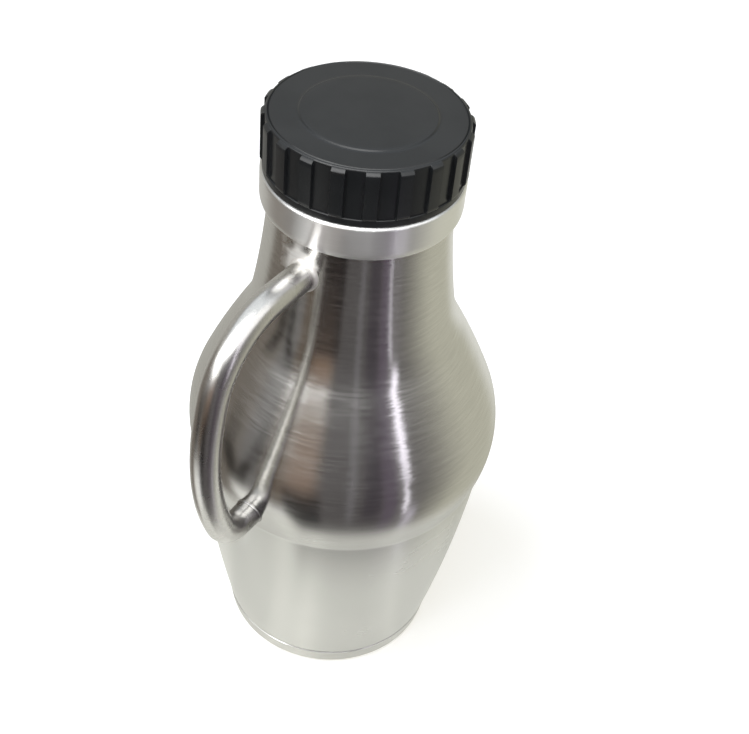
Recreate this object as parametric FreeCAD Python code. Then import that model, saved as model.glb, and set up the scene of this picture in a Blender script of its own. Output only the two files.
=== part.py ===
"""An insulated steel growler: pear-shaped body, bent tube handle, collar and ribbed screw cap.

The origin is the middle of the standing face, +Z runs up the bottle's axis, and the
handle lies in the XZ plane on the -X side.  Lengths are millimetres, angles degrees.
"""
import FreeCAD, Part
import math
import os

# --- Base cup ---------------------------------------------------------------
BASE_HEIGHT = 8.5             # standing face to the seam with the lower shell
BASE_FOOT_RADIUS = 49.0       # edge of the standing face
BASE_SEAM_RADIUS = 51.7
BASE_CORNER = 1.8             # rounding between the standing face and the wall
BASE_GROOVE_RADIUS = 40.0     # pressed groove round the underside, inside the foot
BASE_GROOVE_WIDTH = 4.0
BASE_GROOVE_DEPTH = 1.0

# --- Body shells ------------------------------------------------------------
CREASE_HEIGHT = 108.0         # welded seam under the belly
CREASE_RADIUS = 65.9
LOWER_BARREL = 1.6            # how far the lower wall bulges past a straight cone
BELLY_HEIGHT = 127.5          # widest level of the whole body
BELLY_RADIUS = 69.5
BELLY_ARC_RADIUS = 54.0
BELLY_END_SLOPE = 23.5        # where the belly's arc passes into the shoulder, from the axis
SHOULDER_RADIUS = 312.0       # shoulder: a nearly straight arc that steepens upwards
HOLLOW_RADIUS = 50.0          # hollow curve from the shoulder into the neck
NECK_ARC_RADIUS = 370.0       # long hollow curve of the neck itself
NECK_TOP_SLOPE = 3.5          # neck's slope under the collar, measured from the axis
NECK_TOP_RADIUS = 36.9
NECK_TOP_HEIGHT = 242.0
SEAM_BEVEL = 0.35             # bevel on each edge that meets at a seam

# --- Collar -----------------------------------------------------------------
COLLAR_RADIUS = 40.1
COLLAR_TUCK_RADIUS = 37.4     # lower edge, where the collar tucks in to the neck
COLLAR_TUCK_HEIGHT = 5.0
COLLAR_TOP_HEIGHT = 258.0
COLLAR_LIP = 1.3              # rounding of the upper lip

# --- Screw cap --------------------------------------------------------------
CAP_HEIGHT = 24.5
CAP_FLANGE_RADIUS = 39.3
CAP_FLANGE_HEIGHT = 3.2
CAP_FLANGE_BEVEL = 0.5
CAP_WALL_RADIUS = 38.7        # panels between the ribs
CAP_RIB_RADIUS = 40.1
CAP_RIB_COUNT = 20
CAP_RIB_ANGLE = 8.4           # angle that one rib covers
CAP_RIB_TURN = 14.2           # where the first rib starts
CAP_RIB_TOP_DROP = 0.4        # below the cap's top face, to the rib's bevel
CAP_RIB_BEVEL = 1.3
CAP_SHOULDER_DROP = 1.0       # height of the rounded edge between wall and top
CAP_GROOVE_RADIUS = 37.4      # fine groove round the top face
CAP_GROOVE_WIDTH = 0.7
CAP_GROOVE_DEPTH = 0.4
CAP_DISC_RADIUS = 26.2        # raised disc in the middle of the top face
CAP_DISC_RISE = 0.5

# --- Handle: straight stub, three arcs that turn downwards, straight foot ----
TUBE_RADIUS = 6.0
HANDLE_TOP_HEIGHT = 228.5
HANDLE_STUB_END = 57.0        # distance from the axis where the bending starts
HANDLE_UPPER_RADIUS = 36.0
HANDLE_UPPER_TURN = 73.0      # heading at the end of the upper bend
HANDLE_GRIP_RADIUS = 112.0
HANDLE_GRIP_TURN = 112.0      # heading at the end of the grip
HANDLE_FOOT_HEIGHT = 119.2
FLARE_RADIUS = 1.2            # hollow rounding where the stub spreads on to the neck
BEAD_RISE = 0.45              # weld bead round the foot
BEAD_WIDTH = 1.0

ROOT = FreeCAD.Vector(0, 0, 0)
UP = FreeCAD.Vector(0, 0, 1)


def point(radius, height):
    """A point of a half section, in the XZ plane."""
    return FreeCAD.Vector(radius, 0, height)


def line(start, end):
    """Straight edge between two (radius, height) pairs."""
    return Part.LineSegment(point(*start), point(*end)).toShape()


def arc(start, middle, end):
    """Circular edge through three (radius, height) pairs."""
    return Part.Arc(point(*start), point(*middle), point(*end)).toShape()


def lines(*corners):
    """Straight edges through a run of (radius, height) pairs."""
    return [line(a, b) for a, b in zip(corners, corners[1:])]


def turned(edges, angle=360.0):
    """Solid of revolution of a closed half section about the bottle's axis."""
    face = Part.Face(Part.Wire(edges))
    return face.revolve(ROOT, UP, angle)


def on_circle(centre, radius, angle):
    """(radius, height) pair on a circle; the angle is from the outward direction."""
    turn = math.radians(angle)
    return (centre[0] + radius * math.cos(turn), centre[1] + radius * math.sin(turn))


def make_base():
    """Shallow base cup with a rounded foot, and a pressed groove in its flat underside."""
    corner_centre = (BASE_FOOT_RADIUS, BASE_CORNER)
    corner_end = on_circle(corner_centre, BASE_CORNER, 0)
    groove_start = (BASE_GROOVE_RADIUS - BASE_GROOVE_WIDTH / 2, 0)
    groove_floor = (BASE_GROOVE_RADIUS, BASE_GROOVE_DEPTH)
    groove_end = (BASE_GROOVE_RADIUS + BASE_GROOVE_WIDTH / 2, 0)
    edges = [line((0, 0), groove_start), arc(groove_start, groove_floor, groove_end)]
    edges.append(line(groove_end, (BASE_FOOT_RADIUS, 0)))
    edges.append(arc((BASE_FOOT_RADIUS, 0), on_circle(corner_centre, BASE_CORNER, -45), corner_end))
    edges += lines(
        corner_end,
        (BASE_SEAM_RADIUS, BASE_HEIGHT - SEAM_BEVEL),
        (BASE_SEAM_RADIUS - SEAM_BEVEL, BASE_HEIGHT),
        (0, BASE_HEIGHT),
        (0, 0),
    )
    return turned(edges)


def make_lower_shell():
    """Tapering lower wall with a slight barrel, from the base seam to the crease."""
    bottom = (BASE_SEAM_RADIUS, BASE_HEIGHT + SEAM_BEVEL)
    top = (CREASE_RADIUS, CREASE_HEIGHT - SEAM_BEVEL)
    middle = ((bottom[0] + top[0]) / 2 + LOWER_BARREL, (bottom[1] + top[1]) / 2)
    edges = lines((0, BASE_HEIGHT), (BASE_SEAM_RADIUS - SEAM_BEVEL, BASE_HEIGHT), bottom)
    edges.append(arc(bottom, middle, top))
    edges += lines(top, (CREASE_RADIUS - SEAM_BEVEL, CREASE_HEIGHT), (0, CREASE_HEIGHT), (0, BASE_HEIGHT))
    return turned(edges)


def neck_centre():
    """Centre of the long hollow arc of the neck."""
    return on_circle((NECK_TOP_RADIUS, NECK_TOP_HEIGHT), NECK_ARC_RADIUS, NECK_TOP_SLOPE)


def neck_radius(height):
    """Radius of the neck at a height."""
    centre = neck_centre()
    return centre[0] - math.sqrt(NECK_ARC_RADIUS ** 2 - (height - centre[1]) ** 2)


def bearing(start, end):
    """Angle of the line between two (radius, height) pairs, from the outward direction."""
    return math.degrees(math.atan2(end[1] - start[1], end[0] - start[0]))


def hollow_centre(shoulder_centre):
    """Centre of the hollow arc that touches the shoulder's arc and the neck's arc."""
    neck = neck_centre()
    shoulder_reach = SHOULDER_RADIUS + HOLLOW_RADIUS
    neck_reach = NECK_ARC_RADIUS - HOLLOW_RADIUS
    gap = math.dist(shoulder_centre, neck)
    along = (gap ** 2 + shoulder_reach ** 2 - neck_reach ** 2) / (2 * gap)
    aside = math.sqrt(shoulder_reach ** 2 - along ** 2)
    foot = on_circle(shoulder_centre, along, bearing(shoulder_centre, neck))
    return on_circle(foot, aside, bearing(shoulder_centre, neck) + 90)


def make_upper_shell():
    """Belly, shoulder and neck in one smooth outline."""
    belly_centre = (BELLY_RADIUS - BELLY_ARC_RADIUS, BELLY_HEIGHT)
    bottom_height = CREASE_HEIGHT + SEAM_BEVEL
    bottom_angle = math.degrees(math.asin((bottom_height - BELLY_HEIGHT) / BELLY_ARC_RADIUS))
    bottom = on_circle(belly_centre, BELLY_ARC_RADIUS, bottom_angle)
    widest = on_circle(belly_centre, BELLY_ARC_RADIUS, 0)
    belly_end = on_circle(belly_centre, BELLY_ARC_RADIUS, BELLY_END_SLOPE)
    shoulder_centre = on_circle(belly_end, -SHOULDER_RADIUS, BELLY_END_SLOPE)
    hollow = hollow_centre(shoulder_centre)
    steepest = bearing(shoulder_centre, hollow)
    shoulder_middle = on_circle(shoulder_centre, SHOULDER_RADIUS, (BELLY_END_SLOPE + steepest) / 2)
    shoulder_end = on_circle(shoulder_centre, SHOULDER_RADIUS, steepest)
    meeting = bearing(hollow, neck_centre())
    hollow_middle = on_circle(hollow, HOLLOW_RADIUS, 180 + (steepest + meeting) / 2)
    hollow_end = on_circle(hollow, HOLLOW_RADIUS, 180 + meeting)
    neck_top = (NECK_TOP_RADIUS, NECK_TOP_HEIGHT)
    neck_middle_height = (hollow_end[1] + NECK_TOP_HEIGHT) / 2
    edges = lines((0, CREASE_HEIGHT), (CREASE_RADIUS - SEAM_BEVEL, CREASE_HEIGHT), bottom)
    edges.append(arc(bottom, widest, belly_end))
    edges.append(arc(belly_end, shoulder_middle, shoulder_end))
    edges.append(arc(shoulder_end, hollow_middle, hollow_end))
    edges.append(arc(hollow_end, (neck_radius(neck_middle_height), neck_middle_height), neck_top))
    edges += lines(neck_top, (0, NECK_TOP_HEIGHT), (0, CREASE_HEIGHT))
    return turned(edges)


def make_collar():
    """Bright ring round the mouth: tucked in below, rounded at the lip."""
    tuck = (COLLAR_TUCK_RADIUS, NECK_TOP_HEIGHT)
    wall_start = (COLLAR_RADIUS, NECK_TOP_HEIGHT + COLLAR_TUCK_HEIGHT)
    drop = COLLAR_RADIUS - COLLAR_TUCK_RADIUS
    tuck_radius = (drop ** 2 + COLLAR_TUCK_HEIGHT ** 2) / (2 * drop)
    half_turn = math.degrees(math.asin(COLLAR_TUCK_HEIGHT / tuck_radius)) / 2
    tuck_centre = (COLLAR_RADIUS - tuck_radius, wall_start[1])
    lip_centre = (COLLAR_RADIUS - COLLAR_LIP, COLLAR_TOP_HEIGHT - COLLAR_LIP)
    lip_start = on_circle(lip_centre, COLLAR_LIP, 0)
    lip_end = on_circle(lip_centre, COLLAR_LIP, 90)
    edges = [line((0, NECK_TOP_HEIGHT), tuck)]
    edges.append(arc(tuck, on_circle(tuck_centre, tuck_radius, -half_turn), wall_start))
    edges.append(line(wall_start, lip_start))
    edges.append(arc(lip_start, on_circle(lip_centre, COLLAR_LIP, 45), lip_end))
    edges += lines(lip_end, (0, COLLAR_TOP_HEIGHT), (0, NECK_TOP_HEIGHT))
    return turned(edges)


def cap_core():
    """Cap without ribs: flange, wall, rounded edge, groove and raised disc."""
    bottom = COLLAR_TOP_HEIGHT
    face = bottom + CAP_HEIGHT - CAP_DISC_RISE
    flange_top = bottom + CAP_FLANGE_HEIGHT
    groove_outer = CAP_GROOVE_RADIUS + CAP_GROOVE_WIDTH / 2
    groove_inner = CAP_GROOVE_RADIUS - CAP_GROOVE_WIDTH / 2
    flange_inner = CAP_FLANGE_RADIUS - CAP_FLANGE_BEVEL
    edges = lines(
        (0, bottom),
        (flange_inner - CAP_FLANGE_BEVEL, bottom),
        (CAP_FLANGE_RADIUS, bottom + 2 * CAP_FLANGE_BEVEL),
        (CAP_FLANGE_RADIUS, flange_top - CAP_FLANGE_BEVEL),
        (CAP_WALL_RADIUS, flange_top),
        (CAP_WALL_RADIUS, face - CAP_SHOULDER_DROP),
    )
    wall_end = (CAP_WALL_RADIUS, face - CAP_SHOULDER_DROP)
    shoulder_end = (groove_outer, face)
    edge_width = wall_end[0] - shoulder_end[0]
    bulge = 1 - math.sqrt(0.5)
    shoulder_middle = (wall_end[0] - edge_width * bulge, face - CAP_SHOULDER_DROP * bulge)
    edges.append(arc(wall_end, shoulder_middle, shoulder_end))
    edges += lines(
        shoulder_end,
        (CAP_GROOVE_RADIUS, face - CAP_GROOVE_DEPTH),
        (groove_inner, face),
        (CAP_DISC_RADIUS + CAP_DISC_RISE, face),
        (CAP_DISC_RADIUS, face + CAP_DISC_RISE),
        (0, face + CAP_DISC_RISE),
        (0, bottom),
    )
    return turned(edges)


def cap_rib():
    """One broad grip rib, bevelled at its top and running down to the flange."""
    top = COLLAR_TOP_HEIGHT + CAP_HEIGHT - CAP_DISC_RISE - CAP_RIB_TOP_DROP
    bottom = COLLAR_TOP_HEIGHT + CAP_FLANGE_HEIGHT - CAP_FLANGE_BEVEL
    inner = CAP_WALL_RADIUS - CAP_RIB_BEVEL
    edges = lines(
        (inner, bottom),
        (CAP_FLANGE_RADIUS, bottom),
        (CAP_RIB_RADIUS, bottom + CAP_RIB_BEVEL),
        (CAP_RIB_RADIUS, top - CAP_RIB_BEVEL),
        (CAP_WALL_RADIUS, top),
        (inner, top),
        (inner, bottom),
    )
    return turned(edges, CAP_RIB_ANGLE)


def make_cap():
    """Moulded screw cap with evenly spaced grip ribs."""
    rib = cap_rib()
    ribs = []
    for index in range(CAP_RIB_COUNT):
        copy = rib.copy()
        copy.rotate(ROOT, UP, CAP_RIB_TURN + index * 360.0 / CAP_RIB_COUNT)
        ribs.append(copy)
    return cap_core().multiFuse(ribs).removeSplitter()


def bend(start, radius, heading_in, heading_out):
    """Arc of the handle's line; headings are measured downwards from straight out."""
    def along(heading):
        turn = math.radians(heading)
        out = radius * (math.sin(turn) - math.sin(math.radians(heading_in)))
        down = radius * (math.cos(math.radians(heading_in)) - math.cos(turn))
        return (start[0] - out, start[1] - down)

    end = along(heading_out)
    return arc(start, along((heading_in + heading_out) / 2), end), end


def handle_line():
    """Centre line of the tube, from the flared stub round to inside the belly."""
    stub_start = (-(neck_radius(HANDLE_TOP_HEIGHT) + FLARE_RADIUS), HANDLE_TOP_HEIGHT)
    stub_end = (-HANDLE_STUB_END, HANDLE_TOP_HEIGHT)
    upper, upper_end = bend(stub_end, HANDLE_UPPER_RADIUS, 0, HANDLE_UPPER_TURN)
    grip, grip_end = bend(upper_end, HANDLE_GRIP_RADIUS, HANDLE_UPPER_TURN, HANDLE_GRIP_TURN)
    fall = 1 + math.cos(math.radians(HANDLE_GRIP_TURN))
    lower_radius = (grip_end[1] - HANDLE_FOOT_HEIGHT) / fall
    lower, lower_end = bend(grip_end, lower_radius, HANDLE_GRIP_TURN, 180)
    foot = line(lower_end, (-(BELLY_RADIUS - TUBE_RADIUS), lower_end[1]))
    return [line(stub_start, stub_end), upper, grip, lower, foot]


def turned_on_x(edges, height):
    """Solid of revolution about a level line along X; the edges join (-distance, height) pairs."""
    face = Part.Face(Part.Wire(edges))
    return face.revolve(FreeCAD.Vector(0, 0, height), FreeCAD.Vector(1, 0, 0), 360)


def neck_flare():
    """Stub that spreads from the tube's radius on to the neck in a hollow quarter circle."""
    axis = HANDLE_TOP_HEIGHT
    start = neck_radius(axis)
    spread = axis + TUBE_RADIUS + FLARE_RADIUS
    rounding_centre = (-(start + FLARE_RADIUS), spread)
    rounding_middle = on_circle(rounding_centre, FLARE_RADIUS, -45)
    edges = lines(
        (-(start + FLARE_RADIUS), axis),
        (-(start - TUBE_RADIUS), axis),
        (-(start - TUBE_RADIUS), spread),
        (-start, spread),
    )
    rounding_end = (-(start + FLARE_RADIUS), axis + TUBE_RADIUS)
    edges.append(arc((-start, spread), rounding_middle, rounding_end))
    edges.append(line(rounding_end, (-(start + FLARE_RADIUS), axis)))
    return turned_on_x(edges, axis)


def foot_bead():
    """Thin weld bead round the tube where it meets the belly."""
    drop = BELLY_HEIGHT - HANDLE_FOOT_HEIGHT
    sag = BELLY_ARC_RADIUS - math.sqrt(BELLY_ARC_RADIUS ** 2 - drop ** 2)
    start = BELLY_RADIUS - sag
    axis = HANDLE_FOOT_HEIGHT
    edges = lines(
        (-(start - BEAD_WIDTH), axis),
        (-(start - BEAD_WIDTH), axis + TUBE_RADIUS + BEAD_RISE),
        (-(start + BEAD_WIDTH / 2), axis + TUBE_RADIUS + BEAD_RISE),
        (-(start + BEAD_WIDTH), axis + TUBE_RADIUS),
        (-(start + BEAD_WIDTH), axis),
        (-(start - BEAD_WIDTH), axis),
    )
    return turned_on_x(edges, axis)


def make_handle(upper_shell):
    """Bent tube with its flared stub and weld bead, trimmed to the body's surface."""
    path = handle_line()
    start = path[0].Vertexes[0].Point
    section = Part.Wire(Part.makeCircle(TUBE_RADIUS, start, FreeCAD.Vector(1, 0, 0)))
    tube = Part.Wire(path).makePipeShell([section], True, False)
    return tube.multiFuse([neck_flare(), foot_bead()]).cut(upper_shell).removeSplitter()


def main():
    upper_shell = make_upper_shell()
    nodes = {
        "base_cup": make_base(),
        "lower_shell": make_lower_shell(),
        "upper_shell": upper_shell,
        "collar": make_collar(),
        "screw_cap": make_cap(),
        "handle": make_handle(upper_shell),
    }
    os.makedirs("parts", exist_ok=True)
    for name, shape in nodes.items():
        solids = shape.Solids
        print(name, "solids", len(solids), "valid", shape.isValid(), "volume", round(shape.Volume))
        solids[0].exportStep(os.path.join("parts", name + ".step"))


main()
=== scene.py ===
"""Looks of the insulated growler: brushed shells, bright collar, ribbed cap, bent tube handle.

Everything is in metres in the CAD frame: the axis is Z, the handle lies at -X in the XZ
plane, and azimuths are counted from +X towards +Y.  Angles are degrees in the lists below.
"""
import math
import bmesh
import bpy
from mathutils import Matrix, Vector


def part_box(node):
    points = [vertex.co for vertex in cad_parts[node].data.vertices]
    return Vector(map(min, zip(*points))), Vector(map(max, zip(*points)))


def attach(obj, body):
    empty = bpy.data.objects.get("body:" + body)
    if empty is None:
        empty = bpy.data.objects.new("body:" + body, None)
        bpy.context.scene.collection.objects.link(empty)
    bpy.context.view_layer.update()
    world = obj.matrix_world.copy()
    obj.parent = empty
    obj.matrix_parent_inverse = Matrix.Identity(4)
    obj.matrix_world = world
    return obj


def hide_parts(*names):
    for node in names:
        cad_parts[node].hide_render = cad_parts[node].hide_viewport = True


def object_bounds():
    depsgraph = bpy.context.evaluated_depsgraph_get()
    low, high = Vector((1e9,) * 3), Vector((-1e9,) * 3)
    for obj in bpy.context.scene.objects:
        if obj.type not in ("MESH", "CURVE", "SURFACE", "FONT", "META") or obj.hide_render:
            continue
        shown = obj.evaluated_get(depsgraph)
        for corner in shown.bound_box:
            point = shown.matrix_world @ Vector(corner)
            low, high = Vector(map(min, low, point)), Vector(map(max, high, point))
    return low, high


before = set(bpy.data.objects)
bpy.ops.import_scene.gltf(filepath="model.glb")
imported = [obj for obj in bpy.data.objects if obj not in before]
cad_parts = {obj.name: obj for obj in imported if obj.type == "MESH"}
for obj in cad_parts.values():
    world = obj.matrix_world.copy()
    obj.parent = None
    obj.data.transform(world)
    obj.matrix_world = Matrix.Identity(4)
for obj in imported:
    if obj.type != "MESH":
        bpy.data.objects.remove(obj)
CAD_LOW, CAD_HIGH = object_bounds()

MM = 0.001

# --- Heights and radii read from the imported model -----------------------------
BASE_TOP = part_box("base_cup")[1]
SHELL_LOW, SHELL_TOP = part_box("upper_shell")
COLLAR_LOW, COLLAR_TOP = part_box("collar")
CAP_LOW, CAP_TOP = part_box("screw_cap")
SEAM_HEIGHT = BASE_TOP.z
CREASE_HEIGHT = SHELL_LOW.z
NECK_TOP_HEIGHT = SHELL_TOP.z
BELLY_RADIUS = SHELL_TOP.y
BASE_SEAM_RADIUS = BASE_TOP.y
COLLAR_RADIUS = COLLAR_TOP.y
RIB_RADIUS = CAP_TOP.y

# --- Shell outline, as in the CAD ---------------------------------------------
FOOT_RADIUS = 49.0 * MM
FOOT_CORNER = 1.8 * MM
BASE_GROOVE_RADIUS = 40.0 * MM
BASE_GROOVE_WIDTH = 4.0 * MM
BASE_GROOVE_DEPTH = 1.0 * MM
BASE_INNER_RINGS = (12.0 * MM, 25.0 * MM)
BASE_OUTER_RING = 44.0 * MM
SEAM_BEVEL = 0.35 * MM
CREASE_RADIUS = 65.9 * MM
CREASE_ROUNDING = 12.0 * MM
CREASE_CLEARANCE = 0.2 * MM
LOWER_BARREL = 1.6 * MM
BELLY_HEIGHT = 127.5 * MM
BELLY_ARC_RADIUS = 54.0 * MM
BELLY_END_SLOPE = 23.5
SHOULDER_RADIUS = 312.0 * MM
HOLLOW_RADIUS = 50.0 * MM
NECK_ARC_RADIUS = 370.0 * MM
NECK_TOP_SLOPE = 3.5
NECK_TOP_RADIUS = 36.9 * MM
COLLAR_TUCK_RADIUS = 37.4 * MM
COLLAR_TUCK_HEIGHT = 5.0 * MM
COLLAR_LIP = 1.3 * MM

# --- Screw cap -----------------------------------------------------------------
CAP_FLANGE_RADIUS = 39.3 * MM
CAP_FLANGE_HEIGHT = 3.2 * MM
CAP_FLANGE_BEVEL = 0.5 * MM
CAP_WALL_RADIUS = 38.7 * MM
RIB_COUNT = 20
RIB_PITCH = 360.0 / RIB_COUNT
RIB_ANGLE = 8.4
RIB_TURN = 14.2
RIB_SIDE_ANGLE = 0.55
RIB_ROOT_SHARE = 0.55
RIB_ROOT_HEIGHT = 0.8 * MM
RIB_TOP_DROP = 0.4 * MM
RIB_BEVEL = 1.3 * MM
BEVEL_FLATNESS = 1.6
CAP_SHOULDER_DROP = 1.0 * MM
CAP_GROOVE_RADIUS = 37.4 * MM
CAP_GROOVE_WIDTH = 0.7 * MM
CAP_GROOVE_DEPTH = 0.4 * MM
CAP_DISC_RADIUS = 26.2 * MM
CAP_DISC_RISE = 0.5 * MM
# The disc's sloping edge, outside to inside, as (share of its width, share of its rise)
CAP_DISC_EDGE = ((0.08, 0.02), (0.18, 0.12), (0.5, 0.5), (0.82, 0.88), (0.92, 0.98), (1.0, 1.0))
CAP_DISC_EDGE_WIDTH = 1.6 * CAP_DISC_RISE

# --- Handle ----------------------------------------------------------------------
TUBE_RADIUS = 6.0 * MM
HANDLE_LINE_HEIGHT = 228.5 * MM
HANDLE_STUB_END = 57.0 * MM
UPPER_BEND_RADIUS = 36.0 * MM
UPPER_BEND_TURN = 73.0
GRIP_RADIUS = 112.0 * MM
GRIP_TURN = 112.0
HANDLE_FOOT_HEIGHT = 119.2 * MM
FLARE_RADIUS = 1.2 * MM
BEAD_RISE = 0.45 * MM
BEAD_WIDTH = 1.0 * MM
TUBE_SIDES = 64
SUNK = 0.05 * MM  # how far the welded ends run into the shells
END_INSET = 0.5 * MM  # how far the middle of each closed end lies inside its shell

TURN_STEPS = 256
SHARP_ANGLE = 35.0
CAP_SHARP_ANGLE = 40.0


# === Meshes =========================================================================

def on_circle(centre, radius, angle):
    """(radius, height) pair on a circle; the angle is from the outward direction."""
    turn = math.radians(angle)
    return (centre[0] + radius * math.cos(turn), centre[1] + radius * math.sin(turn))


def arc(centre, radius, start, end, steps):
    """Run of (radius, height) pairs along a circle."""
    return [on_circle(centre, radius, start + (end - start) * i / steps) for i in range(steps + 1)]


def straight(start, end, steps):
    """Run of (radius, height) pairs along a straight line, without its first point."""
    return [
        (start[0] + (end[0] - start[0]) * i / steps, start[1] + (end[1] - start[1]) * i / steps)
        for i in range(1, steps + 1)
    ]


def sagged(start, end, rise, steps):
    """Run of pairs along a shallow arc that bulges outwards by rise, without its first point."""
    pairs = []
    for i in range(1, steps + 1):
        part = i / steps
        bulge = rise * 4 * part * (1 - part)
        radius = start[0] + (end[0] - start[0]) * part + bulge
        pairs.append((radius, start[1] + (end[1] - start[1]) * part))
    return pairs


def mesh_object(name, data, material):
    """Puts a mesh with its material into the scene."""
    data.materials.append(material)
    thing = bpy.data.objects.new(name, data)
    bpy.context.scene.collection.objects.link(thing)
    return thing


def flat_panel(name, corners, material):
    """Single face for the surroundings."""
    data = bpy.data.meshes.new(name)
    data.from_pydata(corners, [], [tuple(range(len(corners)))])
    return mesh_object(name, data, material)


def grid_object(name, rows, material, sharp=SHARP_ANGLE):
    """Smooth mesh from rows of points.  Each row is a ring; a row of one point is a pole."""
    mesh = bmesh.new()
    rings = [[mesh.verts.new(p) for p in row] for row in rows]
    for low, high in zip(rings, rings[1:]):
        count = max(len(low), len(high))
        for i in range(count):
            j = (i + 1) % count
            corners = [low[i % len(low)], low[j % len(low)], high[j % len(high)], high[i % len(high)]]
            distinct = []
            for corner in corners:
                if corner not in distinct:
                    distinct.append(corner)
            mesh.faces.new(distinct)
    bmesh.ops.recalc_face_normals(mesh, faces=mesh.faces)
    data = bpy.data.meshes.new(name)
    mesh.to_mesh(data)
    mesh.free()
    data.shade_smooth()
    data.set_sharp_from_angle(angle=math.radians(sharp))
    return mesh_object(name, data, material)


def ring(radius, height):
    """Level circle of points about the axis, or one point on it."""
    if radius <= 0:
        return [(0, 0, height)]
    turns = [2 * math.pi * i / TURN_STEPS for i in range(TURN_STEPS)]
    return [(radius * math.cos(a), radius * math.sin(a), height) for a in turns]


def turned(name, outline, material):
    """Closed solid of revolution from a half section that starts and ends on the axis."""
    return grid_object(name, [ring(r, z) for r, z in outline], material)


def settle(piece, node):
    """Makes a piece stand for its CAD node and ride with the bottle."""
    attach(piece, "root")
    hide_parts(node)


# === Node helpers ===================================================================

# Nearly all of a noise lies between these values, so spread() maps them to its two ends
NOISE_LOW = 0.3
NOISE_HIGH = 0.7


class Nodes:
    """Short way to build a node tree."""

    def __init__(self, tree):
        self.tree = tree
        self.tree.nodes.clear()

    def add(self, kind, inputs=None, **settings):
        node = self.tree.nodes.new(kind)
        for key, value in settings.items():
            setattr(node, key, value)
        for key, value in (inputs or {}).items():
            self.feed(node.inputs[key], value)
        return node

    def feed(self, socket, value):
        if isinstance(value, bpy.types.NodeSocket):
            self.tree.links.new(value, socket)
        elif value is not None:
            socket.default_value = value

    def math(self, operation, a, b=None):
        return self.add("ShaderNodeMath", {0: a, 1: b}, operation=operation).outputs[0]

    def times(self, first, *others):
        """Product of several values, multiplied in order."""
        for other in others:
            first = self.math("MULTIPLY", first, other)
        return first

    def vector(self, operation, a, b=None, scale=None):
        node = self.add("ShaderNodeVectorMath", {0: a, 1: b}, operation=operation)
        if scale is not None:
            self.feed(node.inputs["Scale"], scale)
        return node.outputs["Value"] if operation in ("DOT_PRODUCT", "LENGTH") else node.outputs[0]

    def between(self, value, low, high, start=0.0, end=1.0):
        """Smooth step from start at low to end at high."""
        inputs = {0: value, 1: low, 2: high, 3: start, 4: end}
        return self.add("ShaderNodeMapRange", inputs, interpolation_type="SMOOTHSTEP").outputs[0]

    def linear(self, value, low, high, start, end):
        """Straight ramp from start at low to end at high, level outside."""
        return self.add("ShaderNodeMapRange", {0: value, 1: low, 2: high, 3: start, 4: end}).outputs[0]

    def spread(self, noise, start, end):
        """Noise stretched so that it runs from start to end."""
        return self.linear(noise, NOISE_LOW, NOISE_HIGH, start, end)

    def blend(self, mask, plain, full):
        """Value that is plain where the mask is 0 and full where it is 1."""
        return self.linear(mask, 0.0, 1.0, plain, full)

    def mix(self, factor, first, second):
        node = self.add("ShaderNodeMix", data_type="RGBA")
        self.feed(node.inputs[0], factor)
        self.feed(node.inputs[6], first)
        self.feed(node.inputs[7], second)
        return node.outputs[2]

    def shared(self, factor, first, second):
        """Mix of two shaders."""
        return self.add("ShaderNodeMixShader", {0: factor, 1: first, 2: second}).outputs[0]

    def bump(self, strength, distance, height):
        """Normal of a surface that a height signal makes uneven."""
        inputs = {"Strength": strength, "Distance": distance, "Height": height}
        return self.add("ShaderNodeBump", inputs).outputs[0]

    def noise(self, vector, scale, detail, roughness):
        inputs = {"Vector": vector, "Scale": scale, "Detail": detail, "Roughness": roughness}
        return self.add("ShaderNodeTexNoise", inputs).outputs["Fac"]


def new_material(name):
    material = bpy.data.materials.new(name)
    material.use_nodes = True
    return material, Nodes(material.node_tree)


def finish_material(nodes, shader):
    nodes.add("ShaderNodeOutputMaterial", {"Surface": shader})


def round_coordinates(nodes):
    """Unit direction from the axis with the height in metres: no seam round the bottle."""
    place = nodes.add("ShaderNodeTexCoord").outputs["Object"]
    flat = nodes.vector("MULTIPLY", place, (1, 1, 0))
    around = nodes.vector("NORMALIZE", flat)
    height = nodes.add("ShaderNodeSeparateXYZ", {0: place}).outputs[2]
    return place, around, height


def streak_coordinates(nodes, around, height, per_turn, per_metre):
    """Coordinates that stretch a noise round the bottle."""
    wide = nodes.vector("SCALE", around, scale=per_turn)
    up = nodes.add("ShaderNodeCombineXYZ", {2: nodes.math("MULTIPLY", height, per_metre)}).outputs[0]
    return nodes.vector("ADD", wide, up)


# === Materials ======================================================================

# Steels as (colour, roughness, anisotropy, strength of the brushing, sideways wobble)
BASE_STEEL = ((0.66, 0.655, 0.635), 0.22, 0.82, 0.12, 0.04)
LOWER_STEEL = ((0.68, 0.68, 0.66), 0.26, 0.80, 0.06, 0.02)
UPPER_STEEL = ((0.68, 0.675, 0.655), 0.19, 0.84, 0.35, 0.06)
COLLAR_STEEL = ((0.92, 0.92, 0.91), 0.33, 0.92, 0.10, 0.02)

# Brushing noises as (units round the bottle, units per metre of height, detail, roughness)
FINE_STREAKS = (5.0, 2600.0, 3.0, 0.6)
COARSE_STREAKS = (3.5, 950.0, 2.0, 0.55)
RAGGED_STREAKS = (9.0, 1900.0, 2.0, 0.65)
FINE_SHARE = 0.6
BRUSH_SHADE = 0.25
BRUSH_ROUGHNESS = 0.06
BRUSH_DEPTH = 0.02 * MM
SEAM_LINE = (0.1 * MM, 0.6 * MM)  # half width of the dark line and where it has faded
SEAM_SHADE = 0.55

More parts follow.
